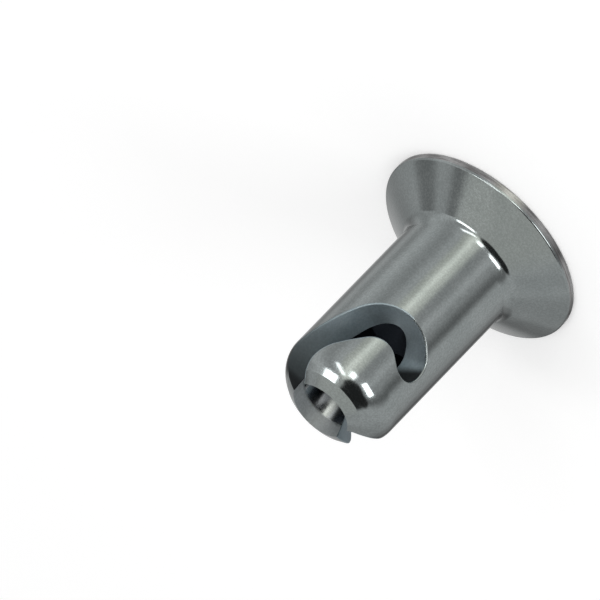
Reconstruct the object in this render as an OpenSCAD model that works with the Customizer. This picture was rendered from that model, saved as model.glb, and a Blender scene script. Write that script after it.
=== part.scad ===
// Quarter turn fastener: a flush-head stud turned from one piece of steel, zinc plated.
// It stands on its flat head: z = 0 is the head face and +Z runs up the shank to the nose.
// Units are millimetres and degrees.

/* [Shank] */
// Shank diameter
shank_d = 11.1; // [10.4:0.1:12]
// Overall length, from the head face to the mouth of the bore
length = 23.2; // [22.6:0.1:25]
// Radius of the rounded nose edge
nose_r = 3.1; // [2:0.1:3.4]
// Slope of the nose's end face from a plane across the axis
nose_slope = 30; // [15:1:35]
// Radius of the fillet between the head's cone and the shank
neck_r = 1.1; // [0.5:0.1:1.6]

/* [Bore] */
// Diameter of the bore drilled from the nose
bore_d = 5.8; // [5.2:0.1:6.2]
// Depth of the bore's straight wall below the mouth
bore_depth = 10.8; // [10:0.1:12]
// Included angle of the drill point at the end of the bore
bore_point = 118; // [90:1:140]

/* [Head] */
// Head diameter
head_d = 19.8; // [17:0.1:22]
// Height of the straight rim
rim_h = 0.75; // [0.5:0.05:1]
// Chamfer between the head face and the rim
rim_break = 0.12; // [0.05:0.01:0.25]
// Included angle of the countersunk cone under the head
head_angle = 114; // [105:1:125]

/* [Drive slot] */
// Slot width across the head face
drive_w = 2; // [1.2:0.1:3]
// Slot length on the head face
drive_len = 17.7; // [12:0.1:18.5]
// Slot depth at the middle of its arched floor
drive_depth = 1.9; // [1:0.1:2.4]
// Turn of the slot from the line through the two detents
drive_turn = 27; // [0:1:90]

/* [Cam slots] */
// Slot width on the shank's surface
cam_w = 3.45; // [2.8:0.05:3.6]
// Slot width where the ramp runs out at the nose
entry_w = 2.9; // [2.4:0.05:3.4]
// Height above the head face of the slot's centreline where it comes nearest the head
cam_top = 15.2; // [14.7:0.1:16.2]
// Distance from there back towards the nose to the centre of the detent
cam_drop = 1; // [0.7:0.1:1.4]
// Slope of the ramp on the unrolled shank
ramp_angle = 53; // [46:1:60]
// Slope into the detent on the unrolled shank
drop_angle = 31; // [20:1:36]
// Bend radius of the centreline on the unrolled shank
bend_r = 4; // [3.8:0.1:4.6]
// Size of the broken edge where a slot meets the shank
edge_break = 0.12; // [0.05:0.01:0.2]

/* [Hidden] */
$fa = 4;
$fs = 0.15;

steel = [0.62, 0.64, 0.64];
// how far a cutter runs past the surface it opens
over = 1;
shank_r = shank_d / 2;
head_r = head_d / 2;
bore_r = bore_d / 2;
cam_r = cam_w / 2;

// head cone: slope from the axis, and the height at which it would meet the shank
cone_half = head_angle / 2;
neck_z = rim_h + (head_r - shank_r) / tan(cone_half);
// neck fillet: centre outside the corner, and its tangent points on the cone and on the shank
neck_len = neck_r * tan(cone_half / 2);
neck_on_shank = [shank_r, neck_z + neck_len];
neck_on_cone = [shank_r + neck_len * sin(cone_half), neck_z - neck_len * cos(cone_half)];
neck_centre = [shank_r + neck_r, neck_z + neck_len];

// nose: the rounded edge ends where its slope equals the end face's slope
nose_rho = shank_r - nose_r * (1 - sin(nose_slope));
nose_end = length - (nose_rho - bore_r) * tan(nose_slope);
nose_start = nose_end - nose_r * cos(nose_slope);
nose_tip = length + bore_r * tan(nose_slope);
bore_bottom = length - bore_depth;
bore_tip = bore_bottom - bore_r / tan(bore_point / 2);

// drive slot: radius of the disc cutter that leaves this length and depth
disc_r = (pow(drive_len / 2, 2) + pow(drive_depth, 2)) / (2 * drive_depth);

// cam slot centreline on the unrolled shank: detent, straight drop, bend over the top, ramp to the nose
detent_z = cam_top + cam_drop;
drop_len = (cam_drop - bend_r * (1 - cos(drop_angle))) / sin(drop_angle);
bend_x = drop_len * cos(drop_angle) + bend_r * sin(drop_angle);
ramp_x = bend_x + bend_r * sin(ramp_angle);
ramp_z = cam_top + bend_r * (1 - cos(ramp_angle));
ramp_run = (length + cam_w - ramp_z) / tan(ramp_angle);
end_steps = 7;
bend_steps = 22;
ramp_steps = 20;

// One station along a cam slot: distance round the shank, height, heading, step back behind the detent's
// centre, and the distances from the centreline to the wall on the head's side and on the nose's side
function end_stations() = [
    for (i = [0 : end_steps - 1])
        let (t = 90 * (1 - (i + 0.5) / end_steps))
        [0, detent_z, -drop_angle, -cam_r * sin(t), cam_r * cos(t), cam_r * cos(t)]
];
function bend_stations() = [
    for (i = [0 : bend_steps])
        let (a = -drop_angle + (ramp_angle + drop_angle) * i / bend_steps)
        [bend_x + bend_r * sin(a), cam_top + bend_r * (1 - cos(a)), a, 0, cam_r, cam_r]
];
function ramp_stations() = [
    for (i = [1 : ramp_steps])
        let (part = i / ramp_steps, run = ramp_run * part)
        [ramp_x + run, ramp_z + run * tan(ramp_angle), ramp_angle, 0, cam_r, cam_r - (cam_w - entry_w) * part]
];
stations = concat(
    end_stations(), [[0, detent_z, -drop_angle, 0, cam_r, cam_r]], bend_stations(), ramp_stations()
);

// Point of a slot wall at radius rho, h to the nose's side of a station: the walls run straight in to
// the axis
function wall_point(s, h, rho) =
    let (
        x = s[0] + s[3] * cos(s[2]) - h * sin(s[2]),
        z = s[1] + s[3] * sin(s[2]) + h * cos(s[2]),
        a = x / shank_r * 180 / PI
    )
    [rho * cos(a), rho * sin(a), z];

// Outline of the cutter at one station: inside the bore, up the two walls, then flared past the shank
function ring_points(s) =
    let (flare = edge_break + over)
    [
        wall_point(s, -s[4], bore_r - over),
        wall_point(s, s[5], bore_r - over),
        wall_point(s, s[5], shank_r - edge_break),
        wall_point(s, s[5] + flare, shank_r + over),
        wall_point(s, -s[4] - flare, shank_r + over),
        wall_point(s, -s[4], shank_r - edge_break)
    ];

stud();

module stud() {
    color(steel)
        difference() {
            rotate_extrude() stud_profile();
            bore_cutter();
            drive_cutter();
            for (turn = [-90, 90]) rotate(turn) cam_cutter();
        }
}

// Half section of the turned blank, before the bore and slots
module stud_profile() {
    polygon([
        [0, 0], [head_r - rim_break, 0], [head_r, rim_break], [head_r, rim_h], [shank_r, neck_z],
        [shank_r, nose_start], [nose_rho, nose_end], [0, nose_tip]
    ]);
    intersection() {
        translate([shank_r - nose_r, nose_start]) circle(nose_r);
        translate([0, nose_start]) square([shank_r, nose_r]);
    }
    difference() {
        polygon([[shank_r, neck_z], neck_on_cone, neck_on_shank]);
        translate(neck_centre) circle(neck_r);
    }
}

// Drilled bore with its drill point
module bore_cutter() {
    rotate_extrude()
        polygon([[0, bore_tip], [bore_r, bore_bottom], [bore_r, nose_tip + over], [0, nose_tip + over]]);
}

// Slotting disc that leaves the arched floor
module drive_cutter() {
    rotate(drive_turn)
        translate([0, 0, drive_depth - disc_r])
            rotate([90, 0, 90])
                cylinder(r = disc_r, h = drive_w, center = true);
}

// One cam slot, its detent on +X
module cam_cutter() {
    ring = len(ring_points(stations[0]));
    last = len(stations) - 1;
    // a ring isn't flat, so its end outline is closed by triangles
    cap = [[0, 1, 2], [0, 2, 5], [5, 2, 3], [5, 3, 4]];
    polyhedron(
        points = [for (s = stations) each ring_points(s)],
        faces = concat(
            cap,
            [for (t = cap) [for (k = [2 : -1 : 0]) last * ring + t[k]]],
            [for (i = [0 : last - 1], k = [0 : ring - 1])
                let (m = (k + 1) % ring)
                [i * ring + k, (i + 1) * ring + k, (i + 1) * ring + m]],
            [for (i = [0 : last - 1], k = [0 : ring - 1])
                let (m = (k + 1) % ring)
                [i * ring + k, (i + 1) * ring + m, i * ring + m]]
        )
    );
}
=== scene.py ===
"""Quarter turn fastener: a zinc plated stud that stands on its flat head in plain studio light.

The stud's sizes are in millimetres until its mesh is made, and the studio is in metres. Angles are in
radians, apart from the directions in the studio, which are in degrees.
"""

import math

import bpy
from mathutils import Matrix, Vector
from mathutils.geometry import delaunay_2d_cdt


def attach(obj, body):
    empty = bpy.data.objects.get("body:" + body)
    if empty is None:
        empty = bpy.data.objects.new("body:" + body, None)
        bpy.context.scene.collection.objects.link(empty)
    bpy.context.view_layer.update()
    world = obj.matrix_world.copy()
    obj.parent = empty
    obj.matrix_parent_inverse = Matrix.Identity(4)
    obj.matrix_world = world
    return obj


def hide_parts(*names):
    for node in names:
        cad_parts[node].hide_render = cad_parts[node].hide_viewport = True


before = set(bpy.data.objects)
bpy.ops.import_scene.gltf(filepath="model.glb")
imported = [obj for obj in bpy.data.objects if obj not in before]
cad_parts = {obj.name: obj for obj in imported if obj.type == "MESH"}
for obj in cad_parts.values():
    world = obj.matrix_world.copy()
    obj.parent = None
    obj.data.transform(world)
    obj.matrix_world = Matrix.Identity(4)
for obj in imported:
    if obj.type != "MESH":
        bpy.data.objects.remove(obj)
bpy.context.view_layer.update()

MM = 0.001

# The stud's sizes, the same as in the part's source
SHANK_R = 5.55
LENGTH = 23.2
NOSE_R = 3.1
NOSE_SLOPE = math.radians(30)
BORE_R = 2.9
BORE_DEPTH = 10.8
BORE_HALF_POINT = math.radians(59)
HEAD_R = 9.9
RIM_H = 0.75
RIM_BREAK = 0.12
CONE_HALF = math.radians(57)
DRIVE_HALF_W = 1.0
DRIVE_HALF_LEN = 8.85
DRIVE_DEPTH = 1.9
DRIVE_TURN = math.radians(27)
CAM_R = 1.725
CAM_TAPER = 0.55
CAM_TOP = 15.2
CAM_DROP = 1.0
RAMP = math.radians(53)
DROP = math.radians(31)
BEND_R = 4.0

# Radius of the neck, rounder than in the part's source, and reach of each rounded edge
NECK_R = 1.5
CAM_EDGE = 0.15
BORE_EDGE = 0.06
DRIVE_EDGE = 0.1
RIM_EDGE = 0.14
# Largest share of a wall's depth that a rounded edge takes
EDGE_SHARE = 0.45
# The nose's rounded edge turns through this angle, then runs out in a cone, its shoulder
SHOULDER = math.radians(50)

# Steps of the mesh: round the axis, over a rounded edge, and along each other stretch
TURN_STEPS = 192
HALF_STEPS = TURN_STEPS // 2
EDGE_STEPS = 4
CAP_STEPS = 26
DROP_STEPS = 5
BEND_STEPS = 48
RAMP_STEPS = 40
CONE_STEPS = 12
NECK_STEPS = 10
POINT_STEPS = 5
DRIVE_WALL_STEPS = 3
# Size of the faces on the plain shank, then up and round the slotted stretch's outside
PLAIN_CELL = 0.7
SHANK_CELL = 0.4
ARC_CELL = 0.14
END_CELL = 0.25
ROUND_CELL = 0.3
# Two rows of corners, this far apart, keep the crease between shoulder and end face sharp
CREASE = 0.03
CREASE_CELL = 0.12
# Size of the faces in the bore, on the cam slots' walls, in the drive slot and on the head face
BORE_CELL = 0.4
WALL_CELL = 0.4
DRIVE_CELL = 0.25
FACE_CELL = 0.5
# Space that a filled outline keeps clear inside its edge
OUTSIDE_CLEAR = 0.11
BORE_CLEAR = 0.15
FACE_CLEAR = 0.2
# Points of a filled outline that are closer than this are one point
FILL_MARGIN = 1e-7
# Cam slot walls up to this depth have rounded edges alone
THIN_WALL = 1
# Points that agree to this many decimals are one corner
WELD_DIGITS = 4

# Heights and lengths that follow from the sizes
NECK_Z = RIM_H + (HEAD_R - SHANK_R) / math.tan(CONE_HALF)
NECK_LEN = NECK_R * math.tan(CONE_HALF / 2)
NOSE_RHO = SHANK_R - NOSE_R * (1 - math.sin(NOSE_SLOPE))
NOSE_END = LENGTH - (NOSE_RHO - BORE_R) * math.tan(NOSE_SLOPE)
SHOULDER_LEN = (SHANK_R - NOSE_RHO - NOSE_R * (1 - math.cos(SHOULDER))) / math.sin(SHOULDER)
SHOULDER_RHO = NOSE_RHO + SHOULDER_LEN * math.sin(SHOULDER)
SHOULDER_Z = NOSE_END - SHOULDER_LEN * math.cos(SHOULDER)
NOSE_START = SHOULDER_Z - NOSE_R * math.sin(SHOULDER)
BORE_BOTTOM = LENGTH - BORE_DEPTH
DISC_R = (DRIVE_HALF_LEN**2 + DRIVE_DEPTH**2) / (2 * DRIVE_DEPTH)
DETENT_Z = CAM_TOP + CAM_DROP
DROP_LEN = (CAM_DROP - BEND_R * (1 - math.cos(DROP))) / math.sin(DROP)
BEND_X = DROP_LEN * math.cos(DROP) + BEND_R * math.sin(DROP)
RAMP_X = BEND_X + BEND_R * math.sin(RAMP)
RAMP_Z = CAM_TOP + BEND_R * (1 - math.cos(RAMP))
RAMP_RUN = (LENGTH + 2 * CAM_R - RAMP_Z) / math.tan(RAMP)

# The slotted stretch starts at this height, and its half turn starts at this distance round the shank
SLOTTED_Z = 12.8
SEAM_X = -3.2
HALF_X = math.pi * SHANK_R
# Distances up the outside from there to the rounded edge, the shoulder, the end face and the mouth
ARC_T = NOSE_START - SLOTTED_Z
SHOULDER_T = ARC_T + NOSE_R * SHOULDER
CONE_T = SHOULDER_T + SHOULDER_LEN
MOUTH_T = CONE_T + (NOSE_RHO - BORE_R) / math.cos(NOSE_SLOPE)

# Finishes, each with its name, its light and dark tint, and its roughness
TURNED, MILLED, DRILLED, RIM = range(4)
FINISHES = [
    ("zinc_turned", (0.34, 0.37, 0.37), (0.30, 0.33, 0.33), 0.12),
    ("zinc_milled", (0.37, 0.43, 0.46), (0.29, 0.35, 0.38), 0.50),
    ("zinc_drilled", (0.64, 0.67, 0.68), (0.56, 0.59, 0.60), 0.18),
    ("zinc_rim", (0.39, 0.39, 0.39), (0.34, 0.34, 0.34), 0.14),
]
# Noise in the finishes: cycles a metre, detail and roughness
CLOUD = (260, 4, 0.6)
GRAIN = (5200, 3, 0.65)
MILL_LINES = (9000, 2, 0.5)
LATHE_LINES = (6500, 2, 0.5)
STREAKS = (7000, 2, 0.6)
# Stretch of a noise that is spread out, and the shares that it is spread to
CLOUD_BAND = (0.3, 0.7)
SPECK_BAND, SPECK_SHARES = (0.35, 0.7), (0.88, 1.06)
STREAK_BAND, STREAK_SHARES = (0.45, 0.65), (0, 0.6)
# Streaks run along the rim: across the axis their noise has this share of its fineness up the axis
STREAK_FINENESS = 0.06
STREAK_TINT = (0.13, 0.12, 0.12)
# Roughness that grain and clouds add, and their mean
GRAIN_WEAR = 0.10
CLOUD_WEAR = 0.06
MEAN_WEAR = 0.08
# Bump of grain and tool marks: strength, and heights in metres
BUMP = 0.05
GRAIN_HEIGHT = 0.00003
LINE_HEIGHT = 0.00002
# Painted shade: down the bore its colour darkens to the tint below, between these heights
BORE_SHADE_HEIGHTS = (18.5, 22.0)
BORE_SHADE_TINT = (0.028, 0.033, 0.042)
# The bore is rougher by these amounts below the first heights, in its depth, and above the others, at its
# mouth
DEEP, DEEP_ROUGH = (16.8, 18.8), 0.3
MOUTH, MOUTH_ROUGH = (21.5, 21.9), 0.34
# Where shade is painted on the plating it is dark and rougher
PAINTED_SHADE_TINT = (0.02, 0.021, 0.022)
PAINTED_SHADE_ROUGH = 0.4
# The ramp's edge on the head's side, in the slot on -Y: its run round the shank up to where the ramp starts,
# and the distance round the shank from +X at which it would start from the head face
RAMP_LEAD = (RAMP_Z - CAM_R * math.cos(RAMP)) / math.tan(RAMP)
RAMP_EDGE = RAMP_X + CAM_R * math.sin(RAMP) - RAMP_LEAD - math.pi / 2 * SHANK_R
# Painted shade at that slot's entry fades out between these distances round the shank from the ramp's edge
SHADE_REACH = (0.5, 1.8)
ENTRY_SHADE = 0.94
# On the outside it sets in over the first heights and fades out over the others
SHADE_RISE, SHADE_FALL = (19.6, 21.0), (22.0, 22.6)
# On the slot's wall the painted shade sets in slowly, and over the last heights in full
WALL_RISE = (14.5, 24.0)
WALL_END, WALL_END_SHADE = (20.2, 22.5), 0.95
# Painted shade at the closed end of each cam slot: it sets in over the first distances from the detent's
# centre and fades out over the others. They are taken at this angle to the shank's round, plus this share of
# the way out from the bore
CLOSED_WAY = math.radians(38)
CLOSED_LEAN = 0.25
CLOSED_RISE, CLOSED_FALL = (0.95, 1.75), (2.8, 3.2)
CLOSED_SHADE = 0.93

# Camera axes in the part's frame: the shank points down to the left in the picture
COMPASS = math.radians(-60)
TOWARDS = Vector((math.cos(COMPASS), math.sin(COMPASS), 0))
ASIDE = Vector((TOWARDS.y, -TOWARDS.x, 0))
UP = Vector((0, 0, 1))
LIFT = math.radians(30.13)
ROLL = math.radians(45.74)
# Camera's distance, width of what it sees there, its sensor's width in millimetres, and its farthest view
DISTANCE = 1.5
FRAME_WIDTH = 0.05187
SENSOR_WIDTH = 36
FAR_CLIP = 10
# Place of the picture's centre: along the shank in the picture, towards the head, and aside
TARGET_ALONG = -0.014488
TARGET_ASIDE = -0.007872

# Soft boxes: compass angle from the camera, height, the two widths and the lean as seen from the stud, all
# in degrees, and radiance
LAMP_DISTANCE = 1.0
LAMPS = {
    "key_lamp": (-60, 62, 22, 10, 30, 4.5),
    "strip_lamp": (-32, 38, 8, 28, -37, 3.0),
    "front_lamp": (-2, 31, 11, 19, 0, 3.6),
    "fill_lamp": (37, 24, 26, 17, 0, 4.5),
}

# Brightness of the studio's walls, by compass angle from the camera in degrees
SURROUND = [
    (-180, 0.50), (-168, 0.50), (-150, 0.34), (-128, 0.66), (-114, 0.55), (-92, 0.84), (-58, 0.57),
    (-38, 0.80), (-28, 0.90), (-15, 1.65), (-5, 1.14), (8, 0.56), (14, 0.55), (31, 0.82), (42, 0.60),
    (64, 0.27), (82, 0.74), (104, 0.72), (122, 0.58), (140, 0.32), (152, 0.14), (161, 0.22), (170, 0.45),
    (180, 0.50),
]
# Share of blue in the warm light of the front wall's window, between two compass angles. The ceiling is half
# as warm
WARM = 0.92
WARM_ANGLES = (-30, 2)
# Brightness of the ceiling, and the rise of the direction over which it sets in
CEILING = 0.74
CEILING_RISE = (0.78, 0.94)
# Brightness of the wall behind the stud, low down and high up, and where it changes
BACK_WALL = (0.54, 0.68)
BACK_WALL_RISE = (0.15, 0.6)
# That wall sets in over this part of the direction towards the camera, and over this rise
BACK_AWAY = (-0.15, -0.45)
BACK_RISE = (-0.1, 0.35)
# Dark cards: compass angle, height, half width and softness of the edge in degrees, and brightness
CARDS = [
    (26, 58, 19, 2, 0.03),
    (62, 54, 15, 2, 0.03),
    (-130, 36, 7, 6, 0.33),
    (-105, 57, 4, 3, 0.31),
    (143, 25, 14, 6, 0.52),
]
# Even light on surfaces that don't mirror the studio
AMBIENT = 0.7
# Half width of the floor, how far it lies below the head face, and its shade
FLOOR_HALF = 2.0
FLOOR_GAP = 0.00002
PAPER = 0.93
# What the camera sees on the floor over its own shade, which makes it white and keeps the shadow
FLOOR_LIFT = 0.16


class Skin:
    """Faces with a normal at each corner, welded where their points meet."""

    def __init__(self):
        self.points, self.index = [], {}
        self.faces, self.normals, self.finishes = [], [], []

    def vertex(self, point):
        key = tuple(round(c, WELD_DIGITS) for c in point)
        if key not in self.index:
            self.index[key] = len(self.points)
            self.points.append(point)
        return self.index[key]

    def face(self, corners, finish):
        """Adds one face, given as (point, normal) corners, turned to agree with its normals."""
        ids, normals = [], []
        for point, normal in corners:
            i = self.vertex(point)
            if i not in ids:
                ids.append(i)
                normals.append(normal)
        if len(ids) < 3:
            return
        p = [Vector(self.points[i]) for i in ids]
        facing = sum(((a - p[0]).cross(b - p[0]) for a, b in zip(p[1:], p[2:])), Vector())
        if facing.dot(sum((Vector(n) for n in normals), Vector())) < 0:
            ids.reverse()
            normals.reverse()
        self.faces.append(ids)
        self.normals.extend(normals)
        self.finishes.append(finish)

    def pair(self, corners, finish):
        """Adds a face and its copy half a turn round the axis."""
        self.face(corners, finish)
        self.face([((-p[0], -p[1], p[2]), (-n[0], -n[1], n[2])) for p, n in corners], finish)

    def strips(self, rows, finish, add):
        """Adds the faces between rows of corners, with face or pair as add."""
        for low, high in zip(rows, rows[1:]):
            for i in range(len(low) - 1):
                add([low[i], low[i + 1], high[i + 1], high[i]], finish)

    def mesh(self, name):
        mesh = bpy.data.meshes.new(name)
        mesh.from_pydata([[c * MM for c in p] for p in self.points], [], self.faces)
        mesh.polygons.foreach_set("material_index", self.finishes)
        mesh.polygons.foreach_set("use_smooth", [True] * len(self.faces))
        mesh.normals_split_custom_set([Vector(n).normalized() for n in self.normals])
        mesh.update()
        return mesh


def steps(start, end, size):
    """Values from start to end, about size apart."""
    n = max(1, round(abs(end - start) / size))
    return [start + (end - start) * i / n for i in range(n + 1)]


def shares(n):
    """Even shares of a whole, from one nth to all of it."""
    return [i / n for i in range(1, n + 1)]


def lerp(a, b, t):
    return tuple(p + (q - p) * t for p, q in zip(a, b))


def edge_rows(start, corner, end):
    """A rounded edge from one (point, normal) to another, over the sharp corner between them."""
    rows = []
    for t in [0] + shares(EDGE_STEPS):
        point = lerp(lerp(start[0], corner, t), lerp(corner, end[0], t), t)
        rows.append((point, lerp(start[1], end[1], t)))
    return rows


def around(rho, z, normal_rho, normal_z, angle):
    """Corner at an angle round the axis, from a profile's radius, height and normal."""
    c, s = math.cos(angle), math.sin(angle)
    return (rho * c, rho * s, z), (normal_rho * c, normal_rho * s, normal_z)


def shank_angle(x):
    """Angle round the axis at distance x round the shank from the first detent, which is on -Y."""
    return x / SHANK_R - math.pi / 2


TURN_ANGLES = [shank_angle(SEAM_X) + 2 * math.pi * j / TURN_STEPS for j in range(TURN_STEPS + 1)]


def nose_profile(t):
    """Radius, height and normal of the outside, at distance t up it from the slotted stretch's start."""
    if t <= ARC_T:
        return SHANK_R, SLOTTED_Z + t, 1.0, 0.0
    if t <= SHOULDER_T:
        turn = (t - ARC_T) / NOSE_R
        c, s = math.cos(turn), math.sin(turn)
        return SHANK_R - NOSE_R * (1 - c), NOSE_START + NOSE_R * s, c, s
    if t <= CONE_T:
        run, c, s = t - SHOULDER_T, math.cos(SHOULDER), math.sin(SHOULDER)
        return SHOULDER_RHO - run * s, SHOULDER_Z + run * c, c, s
    run, c, s = t - CONE_T, math.cos(NOSE_SLOPE), math.sin(NOSE_SLOPE)
    return NOSE_RHO - run * c, NOSE_END + run * s, s, c


def nose_distance(z):
    """Distance up the outside at height z."""
    if z <= NOSE_START:
        return z - SLOTTED_Z
    if z <= SHOULDER_Z:
        return ARC_T + NOSE_R * math.asin((z - NOSE_START) / NOSE_R)
    if z <= NOSE_END:
        return SHOULDER_T + (z - SHOULDER_Z) / math.cos(SHOULDER)
    return min(MOUTH_T, CONE_T + (z - NOSE_END) / math.sin(NOSE_SLOPE))


def outside(x, t):
    return around(*nose_profile(t), shank_angle(x))


def inside(x, z):
    return around(BORE_R, z, -1.0, 0.0, shank_angle(x))


def cam_outline():
    """One cam slot's edge on the unrolled shank, as (x, z, normal into the steel), from the nose's side
    of its mouth round the detent to the head's side of its mouth."""

    def ramp_side(side):
        """Ramp points, ending exactly at the mouth; side is 1 towards the nose and -1 towards the head."""
        taper = CAM_TAPER / RAMP_RUN if side > 0 else 0.0
        rise = math.tan(RAMP) - taper * math.cos(RAMP)
        last = (LENGTH - RAMP_Z - side * CAM_R * math.cos(RAMP)) / rise
        for i in range(1, RAMP_STEPS + 1):
            run = last * i / RAMP_STEPS
            yield RAMP_X + run, RAMP_Z + run * math.tan(RAMP), RAMP, CAM_R - taper * run

    def side_points(side):
        for i in range(DROP_STEPS):
            part = DROP_LEN * i / DROP_STEPS
            yield part * math.cos(DROP), DETENT_Z - part * math.sin(DROP), -DROP, CAM_R
        for i in range(BEND_STEPS + 1):
            a = -DROP + (RAMP + DROP) * i / BEND_STEPS
            yield BEND_X + BEND_R * math.sin(a), CAM_TOP + BEND_R * (1 - math.cos(a)), a, CAM_R
        yield from ramp_side(side)

    def wall(side):
        points = []
        for x, z, heading, half in side_points(side):
            mx, mz = -side * math.sin(heading), side * math.cos(heading)
            points.append((x + half * mx, z + half * mz, mx, mz))
        return points

    cap = []
    for i in range(1, CAP_STEPS):
        a = -DROP + math.pi / 2 + math.pi * i / CAP_STEPS
        cap.append((CAM_R * math.cos(a), DETENT_Z + CAM_R * math.sin(a), math.cos(a), math.sin(a)))
    return wall(1)[::-1] + cap + wall(-1)


def in_loop(x, y, loop):
    hit = False
    for (x0, y0), (x1, y1) in zip(loop, loop[1:] + loop[:1]):
        if (y0 > y) != (y1 > y) and x < (x1 - x0) * (y - y0) / (y1 - y0) + x0:
            hit = not hit
    return hit


def fill(skin, loop, grid, clear, place, finish):
    """Triangles inside a loop of 2-D points, with the grid's points that are clear of its edge."""
    cells = {}
    for x, y in loop:
        cells.setdefault((int(x // clear), int(y // clear)), []).append((x, y))

    def is_clear(x, y):
        i, j = int(x // clear), int(y // clear)
        near = [q for a in (-1, 0, 1) for b in (-1, 0, 1) for q in cells.get((i + a, j + b), [])]
        return all(math.hypot(x - q[0], y - q[1]) > clear for q in near)

    points = loop + [p for p in grid if is_clear(*p) and in_loop(*p, loop)]
    area = sum(a[0] * b[1] - b[0] * a[1] for a, b in zip(loop, loop[1:] + loop[:1]))
    order = list(range(len(loop)))
    if area < 0:
        order.reverse()
    _, _, faces, origin, _, _ = delaunay_2d_cdt([Vector(p) for p in points], [], [order], 1, FILL_MARGIN)
    for face in faces:
        skin.pair([place(*points[origin[i][0]]) for i in face], finish)


def staggered(rows, columns, size):
    """Grid points, with every other row moved by half the size of a cell."""
    return [(x + size / 2 * (i % 2), y) for i, y in enumerate(rows) for x in columns]


def wall_column(x, z, mx, mz):
    """The ends on the unrolled outside and bore of a cam slot's wall, and its corners between them, at one
    point of the slot's outline."""
    rho = nose_profile(nose_distance(z))[0]
    depth = rho - BORE_R
    out = min(CAM_EDGE, EDGE_SHARE * depth)
    back = min(BORE_EDGE, EDGE_SHARE * depth)
    angle = shank_angle(x)

    def corner(r):
        k = r / SHANK_R
        size = math.hypot(mx, k * mz)
        across, up = -mx / size, -k * mz / size
        point = (r * math.cos(angle), r * math.sin(angle), z)
        return point, (-across * math.sin(angle), across * math.cos(angle), up)

    on_shank = (x + out * mx, nose_distance(z + out * mz))
    on_bore = (x + back * mx * SHANK_R / BORE_R, z + back * mz)
    column = edge_rows(outside(*on_shank), corner(rho)[0], corner(rho - out))
    if depth > THIN_WALL:
        column += [corner(r) for r in steps(rho - out, BORE_R + back, WALL_CELL)[1:-1]]
    column += edge_rows(corner(BORE_R + back), corner(BORE_R)[0], inside(*on_bore))
    return on_shank, on_bore, column


def add_wall(skin, a, b, edge_finish):
    """Faces between two wall columns, which have fewer corners near the mouth."""
    edge = EDGE_STEPS
    if len(a) == len(b):
        for i in range(len(a) - 1):
            skin.pair([a[i], a[i + 1], b[i + 1], b[i]], edge_finish if i < edge else MILLED)
        return
    for i in range(edge):
        skin.pair([a[i], a[i + 1], b[i + 1], b[i]], edge_finish)
        j = i + 1
        skin.pair([a[-j], a[-j - 1], b[-j - 1], b[-j]], MILLED)
    middle_a, middle_b = a[edge:len(a) - edge], b[edge:len(b) - edge]
    skin.pair(middle_a + middle_b[::-1], MILLED)


def add_slotted_stretch(skin):
    """Shank, nose and bore from below the cam slots up: two half turns, each with one slot."""
    outline = cam_outline()
    columns = [wall_column(*p) for p in outline]
    for a, b, (x, *_) in zip(columns, columns[1:], outline[1:]):
        add_wall(skin, a[2], b[2], MILLED if x > BEND_X else TURNED)

    first, last = outline[0][0], outline[-1][0]
    end_x = SEAM_X + HALF_X
    foot = [SEAM_X + HALF_X * j / HALF_STEPS for j in range(HALF_STEPS + 1)]
    left_top = steps(SEAM_X, first, ROUND_CELL)
    right_top = steps(last, end_x, ROUND_CELL)

    def half_turn(rises, top, slot):
        """Border of one half turn: foot, one seam, mouth with the slot's edge, and the other seam."""
        border = [(x, rises[0]) for x in foot] + [(end_x, t) for t in rises[1:]]
        border += [(x, top) for x in right_top[-2:0:-1]] + slot[::-1]
        return border + [(x, top) for x in left_top[-2::-1]] + [(SEAM_X, t) for t in rises[-2:0:-1]]

    crease = [CONE_T, CONE_T + CREASE]
    below = steps(0, ARC_T, SHANK_CELL)[:-1] + steps(ARC_T, CONE_T, ARC_CELL)
    rises = below + steps(CONE_T + CREASE, MOUTH_T, END_CELL)
    loop = half_turn(rises, MOUTH_T, [c[0] for c in columns])
    plain = [t for t in rises if t not in crease]
    grid = staggered(plain, steps(SEAM_X, end_x, ROUND_CELL), ROUND_CELL)
    grid += [(x, t) for t in crease for x in steps(SEAM_X, end_x, CREASE_CELL)]
    fill(skin, loop, grid, OUTSIDE_CLEAR, outside, TURNED)

    rises = steps(BORE_BOTTOM, LENGTH, BORE_CELL)
    loop = half_turn(rises, LENGTH, [c[1] for c in columns])
    grid = staggered(rises, steps(SEAM_X, end_x, BORE_CELL), BORE_CELL)
    fill(skin, loop, grid, BORE_CLEAR, inside, DRILLED)


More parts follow.
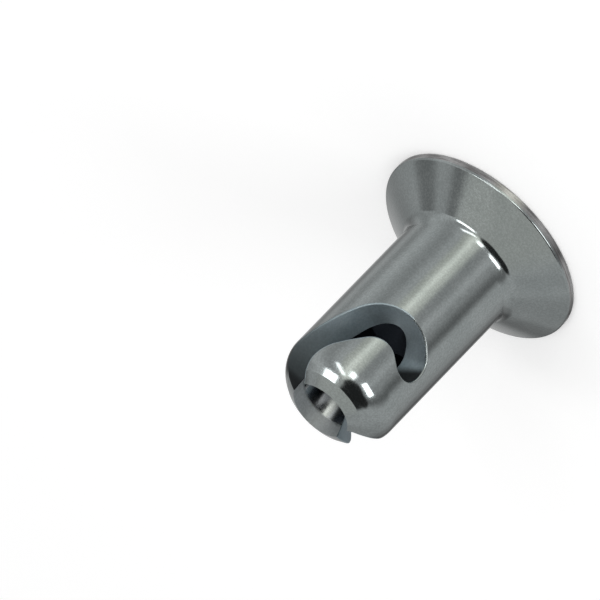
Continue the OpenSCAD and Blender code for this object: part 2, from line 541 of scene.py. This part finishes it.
def add_turned_stretch(skin):
    """Rim, cone, neck and plain shank, turned round the axis, and the bore's drill point."""
    cone = (math.cos(CONE_HALF), math.sin(CONE_HALF))
    profile = []
    for part in [0] + shares(EDGE_STEPS):
        a = math.pi / 2 * (part - 1)
        c, s = math.cos(a), math.sin(a)
        profile.append((HEAD_R - RIM_BREAK + RIM_BREAK * c, RIM_BREAK + RIM_BREAK * s, c, s))
    rim_top = (HEAD_R, RIM_H)
    rim_end = (HEAD_R - RIM_EDGE * cone[1], RIM_H + RIM_EDGE * cone[0])
    for point, normal in edge_rows(((HEAD_R, RIM_H - RIM_EDGE), (1.0, 0.0)), rim_top, (rim_end, cone)):
        profile.append(point + normal)
    neck = (SHANK_R + NECK_R, NECK_Z + NECK_LEN)
    neck_start = (neck[0] - NECK_R * cone[0], neck[1] - NECK_R * cone[1])
    for part in shares(CONE_STEPS):
        profile.append(lerp(rim_end, neck_start, part) + cone)
    for part in shares(NECK_STEPS):
        a = CONE_HALF * (1 - part)
        c, s = math.cos(a), math.sin(a)
        profile.append((neck[0] - NECK_R * c, neck[1] - NECK_R * s, c, s))
    for z in steps(neck[1], SLOTTED_Z, PLAIN_CELL)[1:]:
        profile.append((SHANK_R, z, 1.0, 0.0))
    rows = [[around(*p, a) for a in TURN_ANGLES] for p in profile]
    rim_rows = EDGE_STEPS + 1
    skin.strips(rows[:rim_rows + 1], RIM, skin.face)
    skin.strips(rows[rim_rows:], TURNED, skin.face)

    point = (-math.cos(BORE_HALF_POINT), math.sin(BORE_HALF_POINT))
    depth = BORE_R / math.tan(BORE_HALF_POINT)
    rows = [
        [around(BORE_R * (1 - part), BORE_BOTTOM - depth * part, *point, a) for a in TURN_ANGLES]
        for part in [0] + shares(POINT_STEPS)
    ]
    skin.strips(rows, DRILLED, skin.face)


def add_head_face(skin):
    """Flat head face and its drive slot with the arched floor."""
    down = (0.0, 0.0, -1.0)

    def place(p, q, z=0.0):
        """Point or normal in the part's frame, from p across the slot and q along it."""
        c, s = math.cos(DRIVE_TURN), math.sin(DRIVE_TURN)
        return c * p - s * q, s * p + c * q, z

    edges, walls, floors = [], [], []
    side = place(-1.0, 0.0)
    for q in steps(-DRIVE_HALF_LEN, DRIVE_HALF_LEN, DRIVE_CELL):
        arch = math.sqrt(DISC_R**2 - q * q)
        depth = max(0.0, DRIVE_DEPTH - DISC_R + arch)
        out = min(DRIVE_EDGE, EDGE_SHARE * depth)
        edge = (DRIVE_HALF_W + out, q)
        wall_top = (place(DRIVE_HALF_W, q, out), side)
        wall = edge_rows((place(*edge), down), place(DRIVE_HALF_W, q), wall_top)
        for part in shares(DRIVE_WALL_STEPS):
            wall.append((place(DRIVE_HALF_W, q, out + (depth - out) * part), side))
        edges.append(edge)
        walls.append(wall)
        floor_normal = place(0.0, -q / arch, -1.0)
        floors.append([(place(p, q, depth), floor_normal) for p in steps(DRIVE_HALF_W, 0, DRIVE_CELL)])
    skin.strips(walls, MILLED, skin.pair)
    skin.strips(floors, MILLED, skin.pair)

    flat_r = HEAD_R - RIM_BREAK
    to_slot = [(math.cos(a - DRIVE_TURN), math.sin(a - DRIVE_TURN)) for a in TURN_ANGLES[:-1]]
    first = min(range(TURN_STEPS), key=lambda j: math.hypot(to_slot[j][0], to_slot[j][1] + 1))
    rim = [to_slot[(first + j) % TURN_STEPS] for j in range(HALF_STEPS + 1)]
    end = [(p, DRIVE_HALF_LEN) for p in steps(0, DRIVE_HALF_W, DRIVE_CELL)[:-1]]
    loop = [(flat_r * c, flat_r * s) for c, s in rim] + end + edges[::-1]
    loop += [(p, -q) for p, q in end[::-1]]
    cells = steps(-flat_r, flat_r, FACE_CELL)
    grid = staggered(cells, cells, FACE_CELL)
    fill(skin, loop, grid, FACE_CLEAR, lambda p, q: (place(p, q), down), TURNED)


class Nodes:
    """Short calls for adding and linking shader nodes."""

    def __init__(self, tree):
        self.tree = tree
        tree.nodes.clear()

    def add(self, kind, **settings):
        node = self.tree.nodes.new(kind)
        for name, value in settings.items():
            setattr(node, name, value)
        return node

    def set(self, socket, value):
        if isinstance(value, bpy.types.NodeSocket):
            self.tree.links.new(value, socket)
        else:
            socket.default_value = value

    def math(self, operation, *values):
        node = self.add("ShaderNodeMath", operation=operation)
        for socket, value in zip(node.inputs, values):
            self.set(socket, value)
        return node.outputs[0]

    def plus(self, a, b):
        return self.math("ADD", a, b)

    def minus(self, a, b):
        return self.math("SUBTRACT", a, b)

    def times(self, a, b):
        return self.math("MULTIPLY", a, b)

    def noise(self, vector, scale, detail, rough):
        node = self.add("ShaderNodeTexNoise")
        self.set(node.inputs["Vector"], vector)
        node.inputs["Scale"].default_value = scale
        node.inputs["Detail"].default_value = detail
        node.inputs["Roughness"].default_value = rough
        return node.outputs["Fac"]

    def spread(self, value, band, low, high):
        """Goes smoothly from low to high while value goes through the band."""
        node = self.add("ShaderNodeMapRange", interpolation_type="SMOOTHSTEP")
        names = ("Value", "From Min", "From Max", "To Min", "To Max")
        for name, setting in zip(names, (value, *band, low, high)):
            self.set(node.inputs[name], setting)
        return node.outputs["Result"]

    def spread_mm(self, value, band, low, high):
        return self.spread(value, [d * MM for d in band], low, high)

    def mix(self, factor, a, b):
        node = self.add("ShaderNodeMix", data_type="RGBA")
        self.set(node.inputs["Factor"], factor)
        self.set(node.inputs["A"], a)
        self.set(node.inputs["B"], b)
        return node.outputs["Result"]

    def bump(self, height, distance, normal=None):
        node = self.add("ShaderNodeBump")
        node.inputs["Strength"].default_value = BUMP
        node.inputs["Distance"].default_value = distance
        self.set(node.inputs["Height"], height)
        if normal:
            self.set(node.inputs["Normal"], normal)
        return node.outputs["Normal"]


def rgba(r, g, b):
    return (r, g, b, 1.0)


def grey(level):
    return rgba(level, level, level)


def painted_shade_share(n, finish, x, y, height, radius):
    """How far painted shade darkens a turned or milled surface, from 0 to 1."""
    angle = n.math("ARCTAN2", y, x)
    past = n.minus(n.times(angle, SHANK_R * MM), n.math("DIVIDE", height, math.tan(RAMP)))
    past = n.math("WRAP", n.minus(past, RAMP_EDGE * MM), HALF_X * MM, -HALF_X * MM)
    beside = n.spread_mm(n.math("ABSOLUTE", past), SHADE_REACH, 1, 0)
    if finish == TURNED:
        painted_shade = n.times(beside, n.spread_mm(height, SHADE_RISE, 0, ENTRY_SHADE))
        return n.times(painted_shade, n.spread_mm(height, SHADE_FALL, 1, 0))
    wall = n.times(beside, n.spread_mm(height, WALL_RISE, 0, ENTRY_SHADE))
    wall_end = n.times(beside, n.spread_mm(height, WALL_END, 0, WALL_END_SHADE))
    turn = n.math("WRAP", n.plus(angle, math.pi / 2), math.pi / 2, -math.pi / 2)
    back = n.times(turn, -SHANK_R * MM * math.cos(CLOSED_WAY))
    rise = n.times(n.minus(height, DETENT_Z * MM), math.sin(CLOSED_WAY))
    out = n.times(n.minus(radius, BORE_R * MM), CLOSED_LEAN)
    reach = n.plus(n.plus(back, rise), out)
    closed = n.spread_mm(reach, CLOSED_RISE, 0, CLOSED_SHADE)
    closed = n.times(closed, n.spread_mm(reach, CLOSED_FALL, 1, 0))
    return n.math("MAXIMUM", n.math("MAXIMUM", wall, closed), wall_end)


def steel_material(finish):
    """Satin zinc plate: cloudy tint, fine grain, the marks of its finish, and painted shade by the cam slots
    and down the bore.
    """
    name, light, dark, rough = FINISHES[finish]
    material = bpy.data.materials.new(name)
    material.use_nodes = True
    n = Nodes(material.node_tree)
    place = n.add("ShaderNodeTexCoord").outputs["Object"]
    axes = n.add("ShaderNodeSeparateXYZ")
    n.set(axes.inputs[0], place)
    x, y, height = axes.outputs
    radius = n.math("SQRT", n.plus(n.math("POWER", x, 2), n.math("POWER", y, 2)))
    cloud = n.spread(n.noise(place, *CLOUD), CLOUD_BAND, 0, 1)
    grain = n.noise(place, *GRAIN)
    if finish == MILLED:
        lines = n.noise(place, *MILL_LINES)
    else:
        ring = n.add("ShaderNodeCombineXYZ")
        n.set(ring.inputs[0], radius)
        n.set(ring.inputs[2], height)
        lines = n.noise(ring.outputs[0], *LATHE_LINES)
    colour = n.mix(cloud, rgba(*dark), rgba(*light))
    coarse = 0.0
    if finish == RIM:
        drawn = n.add("ShaderNodeVectorMath", operation="MULTIPLY")
        n.set(drawn.inputs[0], place)
        drawn.inputs[1].default_value = (STREAK_FINENESS, STREAK_FINENESS, 1)
        streaks = n.spread(n.noise(drawn.outputs[0], *STREAKS), STREAK_BAND, *STREAK_SHARES)
        colour = n.mix(streaks, colour, rgba(*STREAK_TINT))
    elif finish == DRILLED:
        # Painted shade: the bore's colour goes dark towards its depth
        colour = n.mix(n.spread_mm(height, BORE_SHADE_HEIGHTS, 0, 1), rgba(*BORE_SHADE_TINT), colour)
        deep = n.spread_mm(height, DEEP, DEEP_ROUGH, 0)
        coarse = n.plus(deep, n.spread_mm(height, MOUTH, 0, MOUTH_ROUGH))
    else:
        # Painted shade at a slot's entry, on its wall and at its closed end
        painted_shade = painted_shade_share(n, finish, x, y, height, radius)
        colour = n.mix(painted_shade, colour, rgba(*PAINTED_SHADE_TINT))
        coarse = n.times(painted_shade, PAINTED_SHADE_ROUGH)
    tint = n.add("ShaderNodeMix", data_type="RGBA", blend_type="MULTIPLY")
    tint.inputs["Factor"].default_value = 1.0
    n.set(tint.inputs["A"], colour)
    n.set(tint.inputs["B"], n.spread(grain, SPECK_BAND, *SPECK_SHARES))
    shader = n.add("ShaderNodeBsdfPrincipled")
    shader.inputs["Metallic"].default_value = 1.0
    n.set(shader.inputs["Base Color"], tint.outputs["Result"])
    wear = n.plus(n.times(grain, GRAIN_WEAR), n.times(cloud, CLOUD_WEAR))
    n.set(shader.inputs["Roughness"], n.plus(n.plus(wear, rough - MEAN_WEAR), coarse))
    fine = n.bump(grain, GRAIN_HEIGHT)
    n.set(shader.inputs["Normal"], n.bump(lines, LINE_HEIGHT, fine))
    output = n.add("ShaderNodeOutputMaterial")
    n.set(output.inputs["Surface"], shader.outputs[0])
    return material


def axes_at(place, *axes):
    """Transform that moves an object to a place and turns its own axes to these."""
    return Matrix.Translation(place) @ Matrix(axes).transposed().to_4x4()


def add_camera():
    along = TOWARDS * math.sin(LIFT) - UP * math.cos(LIFT)
    back = TOWARDS * math.cos(LIFT) + UP * math.sin(LIFT)
    right = along * math.cos(ROLL) + ASIDE * math.sin(ROLL)
    up = along * math.sin(ROLL) - ASIDE * math.cos(ROLL)
    target = along * TARGET_ALONG + ASIDE * TARGET_ASIDE
    data = bpy.data.cameras.new("camera")
    data.sensor_width = SENSOR_WIDTH
    data.lens = SENSOR_WIDTH * DISTANCE / FRAME_WIDTH
    data.clip_end = FAR_CLIP
    camera = bpy.data.objects.new("camera", data)
    camera.matrix_world = axes_at(target + back * DISTANCE, right, up, back)
    bpy.context.scene.collection.objects.link(camera)
    bpy.context.scene.camera = camera


def direction(compass, height):
    """Unit vector at a compass angle from the camera and a height over the horizon, both in degrees."""
    c, h = math.radians(compass), math.radians(height)
    return (TOWARDS * math.cos(c) + ASIDE * math.sin(c)) * math.cos(h) + UP * math.sin(h)


def add_lamp(name, compass, height, across, upright, lean, radiance):
    """Soft box that faces the stud's nose."""
    way = direction(compass, height)
    side = direction(compass + 90, 0)
    rise = side.cross(way)
    lean = math.radians(lean)
    x_axis = side * math.cos(lean) + rise * math.sin(lean)
    data = bpy.data.lights.new(name, "AREA")
    data.shape = "RECTANGLE"
    data.size = 2 * LAMP_DISTANCE * math.tan(math.radians(across) / 2)
    data.size_y = 2 * LAMP_DISTANCE * math.tan(math.radians(upright) / 2)
    data.energy = radiance * math.pi * data.size * data.size_y
    lamp = bpy.data.objects.new(name, data)
    lamp.visible_camera = False
    place = way * LAMP_DISTANCE + UP * LENGTH * MM
    lamp.matrix_world = axes_at(place, x_axis, way.cross(x_axis), way)
    bpy.context.scene.collection.objects.link(lamp)


def add_floor():
    """Pale paper that shows white to the camera apart from the shadow, and that reflections look through."""
    mesh = bpy.data.meshes.new("floor")
    corners = [(x * FLOOR_HALF, y * FLOOR_HALF, 0) for x, y in ((-1, -1), (1, -1), (1, 1), (-1, 1))]
    mesh.from_pydata(corners, [], [range(len(corners))])
    floor = bpy.data.objects.new("floor", mesh)
    bpy.context.scene.collection.objects.link(floor)
    floor.location.z = -FLOOR_GAP
    material = bpy.data.materials.new("floor_paper")
    material.use_nodes = True
    n = Nodes(material.node_tree)
    paper = n.add("ShaderNodeBsdfDiffuse")
    paper.inputs["Color"].default_value = grey(PAPER)
    clear = n.add("ShaderNodeBsdfTransparent")
    path = n.add("ShaderNodeLightPath")
    glow = n.add("ShaderNodeEmission")
    n.set(glow.inputs["Strength"], n.times(path.outputs["Is Camera Ray"], FLOOR_LIFT))
    lifted = n.add("ShaderNodeAddShader")
    n.set(lifted.inputs[0], paper.outputs[0])
    n.set(lifted.inputs[1], glow.outputs[0])
    blend = n.add("ShaderNodeMixShader")
    n.set(blend.inputs[0], path.outputs["Is Glossy Ray"])
    n.set(blend.inputs[1], lifted.outputs[0])
    n.set(blend.inputs[2], clear.outputs[0])
    output = n.add("ShaderNodeOutputMaterial")
    n.set(output.inputs["Surface"], blend.outputs[0])
    mesh.materials.append(material)


def add_world():
    """Walls, ceiling and cards for reflections, even light for other surfaces, and white for the camera."""
    world = bpy.data.worlds.new("studio")
    bpy.context.scene.world = world
    world.use_nodes = True
    n = Nodes(world.node_tree)
    way = n.add("ShaderNodeTexCoord").outputs["Generated"]

    def part(axis):
        node = n.add("ShaderNodeVectorMath", operation="DOT_PRODUCT")
        n.set(node.inputs[0], way)
        node.inputs[1].default_value = axis
        return node.outputs["Value"]

    compass = n.math("ARCTAN2", part(ASIDE), part(TOWARDS))
    ramp = n.add("ShaderNodeValToRGB")
    ramp.color_ramp.interpolation = "EASE"
    stops = ramp.color_ramp.elements
    # a new stop starts half-way and is moved to its own angle below
    while len(stops) < len(SURROUND):
        stops.new(0.5)
    for stop, (angle, level) in zip(stops, SURROUND):
        is_warm = WARM_ANGLES[0] < angle < WARM_ANGLES[1]
        stop.position = (angle + 180) / 360
        stop.color = rgba(level, level, level * (WARM if is_warm else 1))
    n.set(ramp.inputs[0], n.plus(n.math("DIVIDE", compass, 2 * math.pi), 0.5))
    back = n.times(n.spread(part(TOWARDS), BACK_AWAY, 0, 1), n.spread(part(UP), BACK_RISE, 0, 1))
    seen = n.mix(back, ramp.outputs[0], n.spread(part(UP), BACK_WALL_RISE, *BACK_WALL))
    above = n.spread(part(UP), CEILING_RISE, 0, 1)
    seen = n.mix(above, seen, rgba(CEILING, CEILING, CEILING * (1 + WARM) / 2))
    for compass_angle, height, half, soft, level in CARDS:
        edge = math.cos(math.radians(half + soft)), math.cos(math.radians(half - soft))
        card = n.spread(part(direction(compass_angle, height)), edge, 0, 1)
        seen = n.mix(card, seen, grey(level))
    path = n.add("ShaderNodeLightPath")
    plain = n.mix(path.outputs["Is Camera Ray"], grey(AMBIENT), grey(1))
    colour = n.mix(path.outputs["Is Glossy Ray"], plain, seen)
    background = n.add("ShaderNodeBackground")
    n.set(background.inputs["Color"], colour)
    output = n.add("ShaderNodeOutputWorld")
    n.set(output.inputs["Surface"], background.outputs[0])


def add_stud():
    skin = Skin()
    add_slotted_stretch(skin)
    add_turned_stretch(skin)
    add_head_face(skin)
    stud = bpy.data.objects.new("zinc_stud", skin.mesh("zinc_stud"))
    bpy.context.scene.collection.objects.link(stud)
    for finish in (TURNED, MILLED, DRILLED, RIM):
        stud.data.materials.append(steel_material(finish))
    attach(stud, "root")
    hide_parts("stud")


bpy.context.scene.view_settings.view_transform = "Standard"
add_camera()
add_floor()
add_world()
for lamp_name, settings in LAMPS.items():
    add_lamp(lamp_name, *settings)
add_stud()
